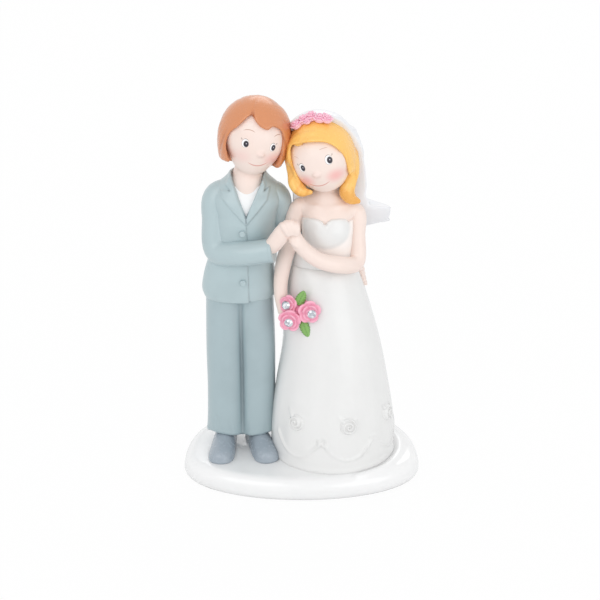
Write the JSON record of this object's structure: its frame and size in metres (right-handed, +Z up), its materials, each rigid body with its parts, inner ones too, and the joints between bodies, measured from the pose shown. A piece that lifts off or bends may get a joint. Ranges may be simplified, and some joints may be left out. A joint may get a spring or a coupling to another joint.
{
  "type": "wedding couple figurine",
  "caption": "Cast and painted figurine of a couple in a trouser suit and a white gown, hand in hand on an oval base, for the top of a wedding cake.",
  "frame": {"origin": "middle of the bounding box's bottom face, on the underside of the base", "axes": "+Z up, +X to the viewer's right, +Y to the back; the faces look to -Y"},
  "size_m": [0.076, 0.055, 0.1244],
  "materials": {
    "white_gloss": "glossy white paint",
    "gown_white": "satin white paint",
    "veil_white": "satin off-white paint",
    "skin": "satin pale skin paint, with painted eyes, brows, mouth and blush on the faces",
    "suit_grey_blue": "satin grey-blue paint",
    "shoe_grey": "satin blue-grey paint",
    "brown_hair": "satin light brown paint, darker in the grooves",
    "blonde_hair": "satin golden paint, darker in the grooves",
    "rose_pink": "matt pink paint",
    "pale_pink": "matt pale pink paint",
    "leaf_green": "satin green paint",
    "clear_stone": "clear faceted stone with a silvered back"
  },
  "bodies": {
    "root": {"base": "white_gloss", "bouquet_core": "rose_pink", "bouquet_leaf_lower": "leaf_green", "bouquet_leaf_upper": "leaf_green", "bouquet_rose_lower": "rose_pink", "bouquet_rose_outer": "rose_pink", "bouquet_rose_upper": "rose_pink", "bride_arm_left": "skin", "bride_arm_right": "skin", "bride_chest": "skin", "bride_hair": "blonde_hair", "bride_head": "skin", "flower_band": "pale_pink", "gown_bodice": "gown_white", "gown_skirt": "gown_white", "jacket_button_lower": "suit_grey_blue", "jacket_button_upper": "suit_grey_blue", "rhinestone_lower": "clear_stone", "rhinestone_outer": "clear_stone", "rhinestone_upper": "clear_stone", "skirt_rose_1": "gown_white", "skirt_rose_2": "gown_white", "skirt_rose_3": "gown_white", "skirt_rose_4": "gown_white", "skirt_rose_5": "gown_white", "skirt_rose_6": "gown_white", "suit_hair": "brown_hair", "suit_hand_left": "skin", "suit_hand_right": "skin", "suit_head": "skin", "suit_jacket": "suit_grey_blue", "suit_shirt": "white_gloss", "suit_shoe_left": "shoe_grey", "suit_shoe_right": "shoe_grey", "suit_sleeve_left": "suit_grey_blue", "suit_sleeve_right": "suit_grey_blue", "suit_trousers": "suit_grey_blue", "veil": "veil_white"}
  },
  "joints": []
}
